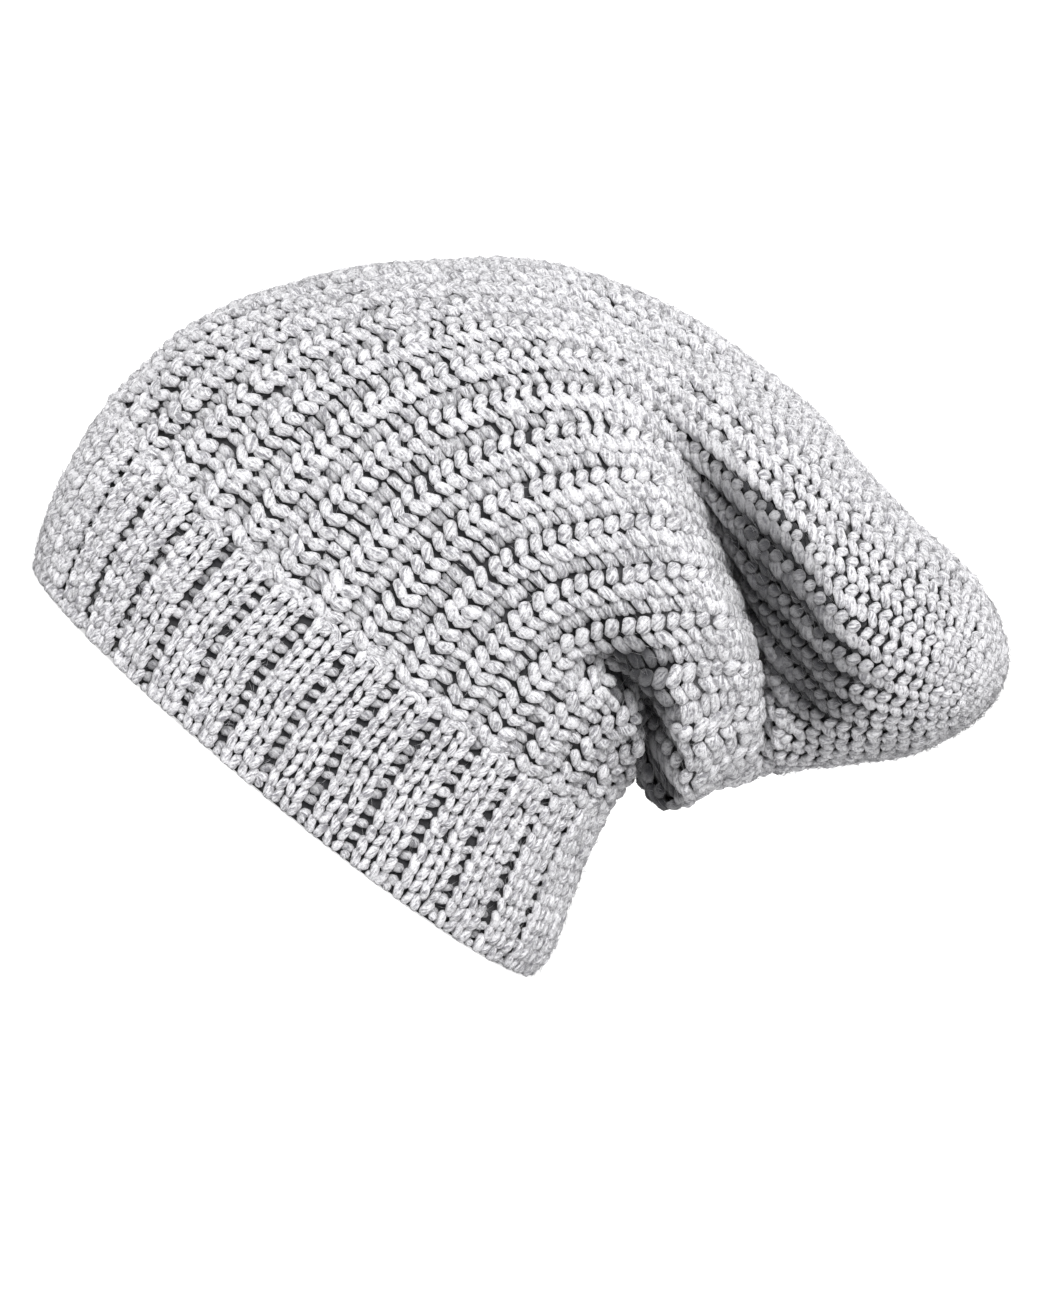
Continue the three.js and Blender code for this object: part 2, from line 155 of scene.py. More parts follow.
# %% [markdown]
# ## The camera
#
# The picture shows the hat from its side, a little from above, and turned clockwise. A long
# lens from four metres keeps the near and far ribs close to one size, as there.

# %% Camera
PICTURE_ROLL = math.radians(39.46)
PICTURE_ELEVATION = math.radians(6.2)
PICTURE_HEIGHT_MM = 403.5
CAMERA_DISTANCE = 4.0
CAMERA_AIM = (0.0123, 0.0, 0.0762)
SENSOR_MM = 36


def place_camera():
    """Puts the camera on a line that rises by the elevation from the aim towards -Y, with its
    right-hand direction turned by the roll from +X."""
    data = bpy.data.cameras.new("camera")
    camera = bpy.data.objects.new("camera", data)
    bpy.context.collection.objects.link(camera)
    data.sensor_width = SENSOR_MM
    data.lens = SENSOR_MM * CAMERA_DISTANCE / (PICTURE_HEIGHT_MM * MM)
    back = np.array([0, -math.cos(PICTURE_ELEVATION), math.sin(PICTURE_ELEVATION)])
    level = np.array([1.0, 0, 0])
    upright = np.cross(back, level)
    right = math.cos(PICTURE_ROLL) * level + math.sin(PICTURE_ROLL) * upright
    up = np.cross(back, right)
    place = np.array(CAMERA_AIM) + CAMERA_DISTANCE * back
    matrix = np.eye(4)
    matrix[:3, 0], matrix[:3, 1], matrix[:3, 2], matrix[:3, 3] = right, up, back, place
    camera.matrix_world = Matrix(matrix.tolist())
    bpy.context.scene.camera = camera
    return camera


camera = place_camera()
print("camera at", [round(value, 3) for value in camera.location])

# %% [markdown]
# ## The surface of the tube
#
# The tube is a row of ovals. Each oval goes through a point of the outline over the dome and
# a point of the outline at the nape, and smooth curves lead from oval to oval. Folds then
# push, squeeze or drop the surface where the cloth slouches. A sculpted mesh could have the
# same form, but on a formula every rib keeps its turn, and the stitches know where they lie.

# %% Curves through the tables


def smooth_curves(table, place):
    """Monotone cubic through the rows of a table: between two rows the value follows the
    cubic with the slopes of both, and a slope is the weighted harmonic mean of the rises
    before and after, or zero where they differ in sign."""
    keys, values = table[:, 0], table[:, 1:]
    steps = np.diff(keys)[:, None]
    rises = np.diff(values, axis=0) / steps
    before, after = rises[:-1], rises[1:]
    weight_before = 2 * steps[1:] + steps[:-1]
    weight_after = steps[1:] + 2 * steps[:-1]
    same = before * after > 0
    safe_before = np.where(same, before, 1)
    safe_after = np.where(same, after, 1)
    inverse = weight_before / safe_before + weight_after / safe_after
    mean = (weight_before + weight_after) / inverse
    slopes = np.concatenate([rises[:1], np.where(same, mean, 0), rises[-1:]])
    row = np.clip(np.searchsorted(keys, place, side="right") - 1, 0, len(keys) - 2)
    step = (keys[row + 1] - keys[row])[..., None]
    t = ((place - keys[row]) / (keys[row + 1] - keys[row]))[..., None]
    start = (1 + 2 * t) * (1 - t) ** 2 * values[row]
    end = t * t * (3 - 2 * t) * values[row + 1]
    bend = t * (1 - t) * ((1 - t) * slopes[row] - t * slopes[row + 1])
    return start + end + step * bend


def along_hat(share):
    """Place along X: up to 1 on the head, past 1 on the tail."""
    return HEAD_LENGTH * np.minimum(share, 1) + TAIL_LENGTH * np.maximum(share - 1, 0)


def bell(distance):
    """1 in the middle, falling on half a cosine wave to 0 at a distance of 1."""
    return 0.5 + 0.5 * np.cos(np.pi * np.minimum(np.abs(distance), 1))


band_table = np.column_stack([
    BAND_SECTIONS[:, 0],
    along_hat(BAND_SECTIONS[:, 1]),
    BAND_HEIGHT * BAND_SECTIONS[:, 0],
    along_hat(BAND_SECTIONS[:, 2]),
    BAND_HEIGHT * BAND_SECTIONS[:, 0],
    HEAD_WIDTH * BAND_SECTIONS[:, 3],
    np.zeros(len(BAND_SECTIONS)),
    np.zeros(len(BAND_SECTIONS)),
    BAND_SECTIONS[:, 4],
])
crown_base = BAND_HEIGHT + SEAM_GAP
crown_table = np.column_stack([
    CROWN_SECTIONS[:, 0],
    along_hat(CROWN_SECTIONS[:, 1]),
    crown_base + CROWN_HEIGHT * CROWN_SECTIONS[:, 2],
    along_hat(CROWN_SECTIONS[:, 3]),
    crown_base + CROWN_HEIGHT * CROWN_SECTIONS[:, 4],
    HEAD_WIDTH * CROWN_SECTIONS[:, 5],
    CROWN_HEIGHT * CROWN_SECTIONS[:, 6],
    CROWN_SECTIONS[:, 7],
    CROWN_SECTIONS[:, 8],
])
tip_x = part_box("slouch_crown")[1][0] / MM
brim_low, brim_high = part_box("ribbed_brim")
shift = np.array([
    tip_x - HEAD_LENGTH - TAIL_LENGTH,
    (brim_low[1] + brim_high[1]) / 2 / MM,
    0,
])
print("the hat stands", np.round(shift, 2), "mm beside its tables")

# %% Points of the ovals and the folds


def section_point(table, turn, at):
    """Point of the oval at a place of the tube. The angle is the turn plus half the oval's
    flatness times the sine of twice the turn, which keeps the ribs evenly wide, less the
    lead times its sine; the middle of the oval is lifted by the arch."""
    turn, at = np.broadcast_arrays(np.asarray(turn, float), np.asarray(at, float))
    values = np.moveaxis(smooth_curves(table, at), -1, 0)
    front, top, back, low, half, arch, skew, lead = values
    half_x, half_z = (front - back) / 2, (top - low) / 2
    long = np.maximum(np.hypot(half_x, half_z), STEP)
    flatness = (long - half) / np.maximum(long + half, STEP)
    angle = turn + 0.5 * flatness * np.sin(2 * turn) - np.radians(lead) * np.sin(turn)
    cos, sin = np.cos(angle), np.sin(angle)
    lift = arch * (1 - cos ** 4)
    point = np.stack([
        (front + back) / 2 + half_x * cos + half_z / long * lift,
        -half * sin * (1 + skew * cos),
        (top + low) / 2 + half_z * cos - half_x / long * lift,
    ], -1)
    out = np.stack([half_x / long * cos, -sin, half_z / long * cos], -1)
    return point, out, angle


def fold_strength(fold, angle, at, ease=0.0):
    """How strongly a fold acts, 0 to 1: a bell round the hat times a bell along it, whose
    middle bows towards the tip between the fold's middle and its ends."""
    around, reach, edge, drift, place, spread, bow = fold[:7]
    degrees = np.degrees(angle) - around - drift * (at - place)
    aside = ((degrees + 180) % 360 - 180) / reach
    line = place + bow * np.sin(np.pi * aside) ** 2
    return bell(np.abs(aside) ** edge) * bell((at - line) / (spread + ease))


def band_face(turn, at):
    """The face of the band's ribs."""
    return section_point(band_table, turn, at)[0] + shift


def crown_face(turn, at, folds=tuple(CROWN_FOLDS.values()), ease=0.0):
    """The face of the crown's ribs: the ovals, moved in by each fold's depth, squeezed
    towards the middle plane and let down by its drop."""
    turn, at = np.broadcast_arrays(np.asarray(turn, float), np.asarray(at, float))
    point, out, angle = section_point(crown_table, turn, at)
    for fold in folds:
        inward, squeeze, drop = fold[7:]
        strength = fold_strength(fold, angle, at, ease)
        point[..., 1] *= 1 - strength * squeeze
        point -= (strength * inward * HEAD_WIDTH)[..., None] * out
        point[..., 2] -= strength * drop * CROWN_HEIGHT
    return point + shift


def crown_shade(turn, at):
    """How much light the folds of the crown take away, which the yarn shows as painted shade: 1
    less the product of what each shade leaves. It is below 0 on the stretched ridges, where the
    yarn is painted lighter and the stitches lie flatter."""
    angle = section_point(crown_table, turn, at)[2]
    light = np.ones(angle.shape)
    for row in CROWN_SHADES.values():
        light *= 1 - row[-1] * fold_strength(row, angle, at)
    return 1 - light


def band_shade(turn, at):
    """The band has no folds, so it loses no light."""
    return np.zeros(np.broadcast(turn, at).shape)


def outward(face, turn, at):
    """Unit direction out of the cloth: the cross product of the steps round and along."""
    turn, at = np.broadcast_arrays(np.asarray(turn, float), np.asarray(at, float))
    low, high = np.clip(at - STEP, 0, 1 - 2 * STEP), np.clip(at + STEP, 2 * STEP, 1 - STEP)
    place = np.clip(at, 0, 1 - STEP)
    across = face(turn + STEP, place) - face(turn - STEP, place)
    along = face(turn, high) - face(turn, low)
    normal = np.cross(across, along)
    return normal / np.maximum(np.linalg.norm(normal, axis=-1, keepdims=True), TINY)


print("the tip lies at", np.round(crown_face(0.0, 1.0), 1), "mm")

# %% [markdown]
# ## Laying yarn
#
# A stitch is a short length of thick yarn that swells in its middle. Its path is given in the
# cloth's own terms: across the rib, as a share of the rib's width, along the rib in
# millimetres, and up out of the cloth. One template laid thousands of times would look
# printed, so each stitch gets its own small shift, size and shade from a seeded source.

# %% Places along the ribs
GRID_PLACES = 1500
RIB_STEP = 2 * np.pi / RIB_COUNT
grid_at = np.linspace(0, 1, GRID_PLACES)


def rib_lengths(face, turns):
    """Length of cloth from the lower edge to each place of the grid, for each rib."""
    points = face(turns[:, None], grid_at[None, :])
    steps = np.linalg.norm(np.diff(points, axis=1), axis=-1)
    return np.concatenate([np.zeros((len(turns), 1)), np.cumsum(steps, axis=1)], axis=1)


def places_at(lengths, rib, distance):
    """Place 0 to 1 on its rib for each distance along it."""
    result = np.empty(distance.shape)
    for index in range(len(lengths)):
        mine = rib == index
        result[mine] = np.interp(distance[mine], lengths[index], grid_at)
    return result


band_turns = RIB_STEP * (np.arange(RIB_COUNT) + 0.5)
crown_turns = band_turns + RIB_STEP * CROWN_RIB_SHIFT
band_lengths = rib_lengths(band_face, band_turns)
crown_lengths = rib_lengths(crown_face, crown_turns)
print("ribs of the crown are", crown_lengths[:, -1].min().round(), "to",
      crown_lengths[:, -1].max().round(), "mm long")

# %% Mesh helpers
FLOOR_CLEARANCE_MM = 0.1


def new_piece(name, points_mm, faces, finish, uv, values):
    """Makes an object from points in millimetres and a list of arrays of faces, each array
    with faces of one kind, with a UV map at the corners and float attributes at the points.
    Its finish is its slot, which is not used, the node of the model that it stands for, and its
    material. It rides on the hat, and points that would lie below the floor are raised just above
    it."""
    slot, node, material = finish
    points_mm[:, 2] = np.maximum(points_mm[:, 2], FLOOR_CLEARANCE_MM)
    mesh = bpy.data.meshes.new(name)
    sizes = np.concatenate([np.full(len(part), part.shape[1]) for part in faces])
    corners = np.concatenate([part.ravel() for part in faces])
    mesh.vertices.add(len(points_mm))
    mesh.vertices.foreach_set("co", (points_mm * MM).astype(np.float32).ravel())
    mesh.loops.add(len(corners))
    mesh.loops.foreach_set("vertex_index", corners.astype(np.int32))
    mesh.polygons.add(len(sizes))
    starts = np.concatenate([[0], np.cumsum(sizes)[:-1]])
    mesh.polygons.foreach_set("loop_start", starts.astype(np.int32))
    mesh.update(calc_edges=True)
    mesh.polygons.foreach_set("use_smooth", np.ones(len(sizes), bool))
    layer = mesh.uv_layers.new(name="yarn")
    layer.data.foreach_set("uv", uv.astype(np.float32).ravel())
    for key, array in values.items():
        attribute = mesh.attributes.new(key, "FLOAT", "POINT")
        attribute.data.foreach_set("value", np.asarray(array, np.float32).ravel())
    piece = bpy.data.objects.new(name, mesh)
    bpy.context.collection.objects.link(piece)
    piece.data.materials.append(material)
    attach(piece, "root")
    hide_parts(node)
    print(name, len(points_mm), "points,", int((sizes - 2).sum()), "triangles")


def tubes(paths, radii, flat, normals, sides):
    """Closed tubes round paths of shape (number, rings, 3). At each ring the tube is an oval,
    the radius wide across the path in the cloth and the radius times flat high; the first
    and last ring are single points, which close the ends. In the UV map, u runs along the
    yarn from 0 to 1 and v round it, and a face over the seam goes on past 1."""
    count, rings = paths.shape[:2]
    along = np.gradient(paths, axis=1)
    along /= np.maximum(np.linalg.norm(along, axis=-1, keepdims=True), TINY)
    side = np.cross(along, normals)
    side /= np.maximum(np.linalg.norm(side, axis=-1, keepdims=True), TINY)
    high = np.cross(side, along)
    angle = 2 * np.pi * np.arange(sides) / sides
    wide = radii[:, 1:-1, None, None] * np.cos(angle)[None, None, :, None]
    tall = radii[:, 1:-1, None, None] * flat * np.sin(angle)[None, None, :, None]
    ring = paths[:, 1:-1, None] + wide * side[:, 1:-1, None] + tall * high[:, 1:-1, None]
    points = np.concatenate([paths[:, :1], ring.reshape(count, -1, 3), paths[:, -1:]], axis=1)
    each = points.shape[1]
    k = np.arange(sides)
    after = (k + 1) % sides
    first = 1 + sides * np.arange(rings - 3)[:, None]
    strips = np.stack([first + k, first + sides + k, first + sides + after, first + after], -1)
    last = 1 + (rings - 3) * sides
    start_cap = np.column_stack([np.zeros(sides, int), 1 + k, 1 + after])
    end_cap = np.column_stack([last + after, last + k, np.full(sides, each - 1)])
    ring_of = np.concatenate([[0], np.repeat(np.arange(1, rings - 1), sides), [rings - 1]])
    side_of = np.concatenate([[0], np.tile(k, rings - 2), [0]])
    first_point = each * np.arange(count)[:, None, None]
    faces, uvs = [], []
    for template in (strips.reshape(-1, 4), np.concatenate([start_cap, end_cap])):
        u = ring_of[template] / (rings - 1)
        v = side_of[template] / sides
        v = np.where((np.ptp(v, axis=1, keepdims=True) > 0.5) & (v < 0.5), v + 1, v)
        faces.append((template[None] + first_point).reshape(-1, template.shape[1]))
        uvs.append(np.tile(np.stack([u, v], -1).reshape(-1, 2), (count, 1)))
    return points.reshape(-1, 3), faces, np.concatenate(uvs)


# %% [markdown]
# ## The yarn
#
# The yarn is light grey wool, marled: whiter and darker hairs run together, and where the
# cloth dips the light doesn't reach, which is painted into the colour as shade. One group gives
# that colour and the small relief of the twisted hairs, and each material sets its own greys in
# it.

# %% Node helpers


def link(tree, from_node, output, to_node, entry):
    """Joins an output of one node to an input of another, both by name."""
    tree.links.new(from_node.outputs[output], to_node.inputs[entry])


def math_node(tree, operation, first, second):
    """A Math node; each of its inputs is a number, an output socket or None."""
    node = tree.nodes.new("ShaderNodeMath")
    node.operation = operation
    for index, value in enumerate((first, second)):
        if isinstance(value, (int, float)):
            node.inputs[index].default_value = value
        elif value is not None:
            tree.links.new(value, node.inputs[index])
    return node.outputs[0]


def range_node(tree, value, low, high, to_low, to_high):
    """A smooth ramp of a value from one range to another."""
    node = tree.nodes.new("ShaderNodeMapRange")
    node.interpolation_type = "SMOOTHSTEP"
    tree.links.new(value, node.inputs["Value"])
    for entry, number in (("From Min", low), ("From Max", high), ("To Min", to_low),
                          ("To Max", to_high)):
        node.inputs[entry].default_value = number
    return node.outputs["Result"]


def noise_node(tree, vector, scale, detail, roughness):
    """Noise from 0 to 1, with the scale in waves for each unit of the vector."""
    node = tree.nodes.new("ShaderNodeTexNoise")
    tree.links.new(vector, node.inputs["Vector"])
    node.inputs["Scale"].default_value = scale
    node.inputs["Detail"].default_value = detail
    node.inputs["Roughness"].default_value = roughness
    return node.outputs["Fac"]


def mix_colour(tree, factor, first, second, blend="MIX"):
    """A Mix node for colours. Its sockets of one name come once for each kind of value, so
    those for colours are taken by their number."""
    node = tree.nodes.new("ShaderNodeMix")
    node.data_type = "RGBA"
    node.blend_type = blend
    if isinstance(factor, (int, float)):
        node.inputs[0].default_value = factor
    else:
        tree.links.new(factor, node.inputs[0])
    tree.links.new(first, node.inputs[6])
    tree.links.new(second, node.inputs[7])
    return node.outputs[2]


# %% Marled yarn
HAIR_SLANT = 0.55  # turns round the yarn that a hair makes along one stitch
HAIR_WAVES_ALONG = 3.0
HAIR_WAVES_ROUND = 13.0
SHADES_APART = 90.0  # takes the hairs of two stitches from far places of the noise
FUZZ_SCALE = 1500.0
MARL_SCALE = 520.0
PLIES = 2
STITCH_TONE_SPREAD = 0.10


def marled_yarn_group():
    """Colour: light hairs with darker flecks, with painted shade from the depth attribute where
    the
    cloth lies deep or folds. Height: hairs that run round the yarn on a slant, its two plies and
    fine fuzz."""
    tree = bpy.data.node_groups.new("marled_yarn", "ShaderNodeTree")
    for name, kind, start in (("Light hair", "NodeSocketColor", (0.8, 0.8, 0.8, 1)),
                              ("Dark hair", "NodeSocketColor", (0.3, 0.3, 0.3, 1)),
                              ("Painted shade", "NodeSocketColor", (0.05, 0.05, 0.05, 1)),
                              ("Flecks", "NodeSocketFloat", 0.5)):
        socket = tree.interface.new_socket(name, in_out="INPUT", socket_type=kind)
        socket.default_value = start
    tree.interface.new_socket("Color", in_out="OUTPUT", socket_type="NodeSocketColor")
    tree.interface.new_socket("Height", in_out="OUTPUT", socket_type="NodeSocketFloat")
    entry = tree.nodes.new("NodeGroupInput")
    leave = tree.nodes.new("NodeGroupOutput")

    place = tree.nodes.new("ShaderNodeTexCoord").outputs["Object"]
    uv = tree.nodes.new("ShaderNodeUVMap")
    uv.uv_map = "yarn"
    apart = tree.nodes.new("ShaderNodeSeparateXYZ")
    tree.links.new(uv.outputs["UV"], apart.inputs[0])
    shade = tree.nodes.new("ShaderNodeAttribute")
    shade.attribute_name = "shade"
    depth = tree.nodes.new("ShaderNodeAttribute")
    depth.attribute_name = "depth"

    lead = math_node(tree, "MULTIPLY", apart.outputs["X"], HAIR_SLANT)
    slant = math_node(tree, "ADD", apart.outputs["Y"], lead)
    hair_place = tree.nodes.new("ShaderNodeCombineXYZ")
    for axis, value, factor in (("X", apart.outputs["X"], HAIR_WAVES_ALONG),
                                ("Y", slant, HAIR_WAVES_ROUND),
                                ("Z", shade.outputs["Fac"], SHADES_APART)):
        tree.links.new(math_node(tree, "MULTIPLY", value, factor), hair_place.inputs[axis])
    hairs = noise_node(tree, hair_place.outputs[0], 1.0, 3.0, 0.6)
    ply_angle = math_node(tree, "MULTIPLY", slant, 2 * math.pi * PLIES)
    plies = math_node(tree, "SINE", ply_angle, None)
    fuzz = noise_node(tree, place, FUZZ_SCALE, 4.0, 0.7)
    marl = noise_node(tree, place, MARL_SCALE, 2.0, 0.6)

    fleck = math_node(tree, "MULTIPLY", range_node(tree, marl, 0.38, 0.60, 0.15, 1),
                      range_node(tree, hairs, 0.43, 0.57, 0, 1))
    fleck = math_node(tree, "MULTIPLY", fleck, entry.outputs["Flecks"])
    colour = mix_colour(tree, fleck, entry.outputs["Light hair"], entry.outputs["Dark hair"])
    own_tone = math_node(tree, "SUBTRACT", shade.outputs["Fac"], 0.5)
    own_tone = math_node(tree, "MULTIPLY", own_tone, STITCH_TONE_SPREAD)
    tone = math_node(tree, "ADD", range_node(tree, fuzz, 0.36, 0.60, 0.74, 1.10), own_tone)
    grey = tree.nodes.new("ShaderNodeCombineColor")
    for channel in ("Red", "Green", "Blue"):
        tree.links.new(tone, grey.inputs[channel])
    colour = mix_colour(tree, 1.0, colour, grey.outputs[0], "MULTIPLY")
    # Painted shade: the depth attribute mixes the colour towards the painted shade grey.
    painted_shade = range_node(tree, depth.outputs["Fac"], 0.0, 1.0, 0, 1)
    colour = mix_colour(tree, painted_shade, colour, entry.outputs["Painted shade"])
    tree.links.new(colour, leave.inputs["Color"])

    height = math_node(tree, "ADD", math_node(tree, "MULTIPLY", hairs, 0.9),
                       math_node(tree, "MULTIPLY", plies, 0.3))
    height = math_node(tree, "ADD", height, math_node(tree, "MULTIPLY", fuzz, 0.8))
    tree.links.new(height, leave.inputs["Height"])
    return tree


yarn_group = marled_yarn_group()


def knit_material(name, light, dark, painted_shade_grey, flecks, relief_mm):
    """A matt yarn with a soft sheen, its greys, the grey of its painted shade and relief from the
    marled yarn group.
    """
    material = bpy.data.materials.new(name)
    material.use_nodes = True
    tree = material.node_tree
    shader = tree.nodes["Principled BSDF"]
    shader.inputs["Roughness"].default_value = 0.92
    shader.inputs["Sheen Weight"].default_value = 0.25
    shader.inputs["Sheen Roughness"].default_value = 0.6
    shader.inputs["Specular IOR Level"].default_value = 0.15
    group = tree.nodes.new("ShaderNodeGroup")
    group.node_tree = yarn_group
    for entry, value in (("Light hair", light), ("Dark hair", dark), ("Painted shade", painted_shade_grey)):
        group.inputs[entry].default_value = (*value, 1)
    group.inputs["Flecks"].default_value = flecks
    bump = tree.nodes.new("ShaderNodeBump")
    bump.inputs["Strength"].default_value = 1.0
    bump.inputs["Distance"].default_value = relief_mm * MM
    link(tree, group, "Color", shader, "Base Color")
    link(tree, group, "Height", bump, "Height")
    link(tree, bump, "Normal", shader, "Normal")
    return material


LIGHT_HAIR = (0.80, 0.795, 0.815)
DARK_HAIR = (0.22, 0.215, 0.24)
# The grey that painted shade mixes the yarn towards, in gaps, grooves and folds.
PAINTED_SHADE_GREY = (0.02, 0.02, 0.024)
crown_yarn = knit_material("crown_knit", LIGHT_HAIR, DARK_HAIR, PAINTED_SHADE_GREY, flecks=0.85,
                           relief_mm=0.6)
band_yarn = knit_material("band_knit", LIGHT_HAIR, DARK_HAIR, PAINTED_SHADE_GREY, flecks=0.9,
                          relief_mm=0.5)
print("materials", crown_yarn.name, band_yarn.name)

# %% [markdown]
# ## The stitches of the crown
#
# The crown is knitted one rib, one purl. Each rib is a column of plump V stitches, its two
# legs leaning apart towards the tip, and between the ribs lie low arched purl bumps. On the
# tail the cloth draws together: the ribs get narrower and the purls sink out of sight.

# %% Laying a template on many ribs


def rows_on(lengths, pitch, first, last, asides=(0,)):
    """Rib numbers, distances along them and shares of a rib aside: rows a pitch apart, from
    first past the lower edge to last short of the upper one, with each of the asides."""
    counts = np.floor((lengths[:, -1] - first - last) / pitch).astype(int) + 1
    rib = np.repeat(np.arange(len(lengths)), counts)
    row = np.concatenate([np.arange(count) for count in counts])
    many = len(asides)
    return np.repeat(rib, many), np.repeat(first + row * pitch, many), np.tile(asides, len(rib))


# How much one stitch differs from the next: shares of its size, of the rib's width or of its
# radius, and millimetres along the rib and up out of the cloth
SIZE_SPREAD = 0.06
ACROSS_SPREAD = 0.012
ALONG_SPREAD = 0.25
HEIGHT_SPREAD = 0.16
TILT_SPREAD = 0.12
RADIUS_SPREAD = 0.05
RING_SPREAD = 0.06
DEPTH_SPREAD = 0.02

# How the yarn gives way: in narrow ribs, and where the cloth is stretched over a ridge
FIT_RANGE = (0.3, 1.1)
FULL_WIDTH = 0.95
CLOSE_OVER = 0.3
NARROW_RADIUS = 0.66
STRETCHED_HEIGHT_LOSS = 0.75
STRETCHED_RADIUS_GAIN = 0.15

# Painted shade on the yarn: by its height above the cloth, and by the light that folds take
PAINTED_SHADE_BELOW_MM = -0.7
PAINTED_SHADE_OVER_MM = 2.4
FOLD_PAINTED_SHADE = 0.78


def at_points(values, sides):
    """Values of the rings as values of the points: once at each end, else once for each
    side of the tube."""
    return np.concatenate([values[:, :1], np.repeat(values[:, 1:-1], sides, 1), values[:, -1:]], 1)


def lay_stitches(name, cloth, laid, template, seed, sides=7):
    """Lays a template at every place laid. The cloth is its face, the turns and lengths of
    its ribs, the width of a rib, its shade and its finish. The template gives, over the
    rings of the yarn: across, as a share of the rib's width; along, height and radius in
    millimetres. Flat is the yarn's height over its width, and middle is where it stands on
    the rib. Each stitch is shifted, turned and resized by seeded random numbers, the more so
    the more uneven the template is. Where a rib is narrow, the yarn spreads by the
    template's close, gets thinner and sinks by its sink. Where the shade is below 0, it lies
    flatter."""
    face, turns, lengths, rib_width, lost_light, finish = cloth
    rib, distance, aside = laid
    rings = len(template["across"])
    random = np.random.default_rng(seed)
    drift = np.clip(random.normal(0, 1, (len(rib), 8)), -2, 2)
    shade = random.random(len(rib))
    turning = np.linspace(-1, 1, rings)
    middle = turns[rib] + (template["middle"] + aside) * RIB_STEP
    start = places_at(lengths, rib, np.clip(distance, 0, lengths[rib, -1]))
    half_rib = face(middle + RIB_STEP / 4, start) - face(middle - RIB_STEP / 4, start)
    fit = np.clip(2 * np.linalg.norm(half_rib, axis=-1) / rib_width, *FIT_RANGE)[:, None]
    close = np.clip((FULL_WIDTH - fit) / CLOSE_OVER, 0, 1)
    uneven = template["uneven"]
    size = 1 + SIZE_SPREAD * uneven * drift[:, :1]
    across = template["across"] * (1 + template["close"] * close) + aside[:, None]
    across = across + ACROSS_SPREAD * uneven * drift[:, 1:2]
    along = template["along"] * size + ALONG_SPREAD * uneven * drift[:, 2:3]
    along = along + ALONG_SPREAD * uneven * drift[:, 3:4] * turning
    length = distance[:, None] + along
    on_rib = np.clip(length, 0, lengths[rib, -1:])
    at = places_at(lengths, np.repeat(rib[:, None], rings, 1), on_rib)
    turn = turns[rib][:, None] + across * RIB_STEP
    normal = outward(face, turn, at)
    height = template["height"] - template["sink"] * close
    height = height + HEIGHT_SPREAD * uneven * drift[:, 4:5]
    height = height + TILT_SPREAD * uneven * drift[:, 5:6] * turning
    lost = lost_light(turn, at)
    stretched = np.clip(-lost, 0, 1)
    height = height * (1 - STRETCHED_HEIGHT_LOSS * stretched)
    paths = face(turn, at) + normal * height[..., None]
    paths[..., 2] += np.where(at < 0.5, length - on_rib, 0)
    radii = template["radius"] * size * (1 + RADIUS_SPREAD * drift[:, 6:7])
    radii = radii * (NARROW_RADIUS + (1 - NARROW_RADIUS) * fit)
    radii = radii * (1 + RING_SPREAD * random.uniform(-1, 1, radii.shape))
    radii = radii * (1 + STRETCHED_RADIUS_GAIN * stretched)
    points, faces, uv = tubes(paths, radii, template["flat"], normal, sides)
    each = len(points) // len(rib)
    lost = at_points(lost, sides)
    # Painted shade, carried by the depth attribute: yarn lying low between stitches and yarn in
    # the folds is mixed towards the shade grey, yarn on stretched ridges gets none, and each
    # stitch varies a little at random.
    depth = np.clip((lost + PAINTED_SHADE_BELOW_MM - at_points(height, sides)) / PAINTED_SHADE_OVER_MM, 0, 1)
    depth = depth + FOLD_PAINTED_SHADE * lost + DEPTH_SPREAD * np.repeat(drift[:, 7:], each, 1)
    values = {"shade": np.repeat(shade, each), "depth": np.clip(depth, 0, 1).ravel()}
    new_piece(name, points, faces, finish, uv, values)


# %% The V stitches of the crown
CROWN_RIB_WIDTH = 15.5
CROWN_PITCH = 4.8
crown_finish = ("crown_knit", "slouch_crown", crown_yarn)
crown_cloth = (crown_face, crown_turns, crown_lengths, CROWN_RIB_WIDTH, crown_shade,
               crown_finish)
crown_rows = rows_on(crown_lengths, CROWN_PITCH, 1.6, 2.5)
leg_way = 0.5 - 0.5 * np.cos(np.linspace(0, np.pi, 8))
leg_blunt = (1 - np.abs(2 * leg_way - 1) ** 5) ** 0.5
leg = {
    "across": 0.32 * leg_way,
    "along": CROWN_PITCH * (-0.36 + 0.72 * leg_way),
    "height": -0.5 + 0.7 * np.sin(np.pi * leg_way ** 0.8) - 0.3 * leg_way ** 3,
    "radius": 2.05 * leg_blunt,
    "flat": 0.8,
    "middle": 0.12,
    "close": 0.45,
    "sink": 0.0,
    "uneven": 1.1,
}
other_leg = dict(leg, across=-leg["across"], middle=-0.12)
print(len(crown_rows[0]), "rows of stitches in the crown's ribs")
lay_stitches("crown_right_legs", crown_cloth, crown_rows, leg, 11)
lay_stitches("crown_left_legs", crown_cloth, crown_rows, other_leg, 12)

# %% The purl bumps of the crown
bump_way = np.linspace(0, 1, 7)
bump_arch = np.sin(np.pi * bump_way)


def bump_radius(radius, least=0.2):
    """Radii of a bump: the root of its arch, which starts and ends at the least share."""
    return radius * (least + (1 - least) * bump_arch) ** 0.5


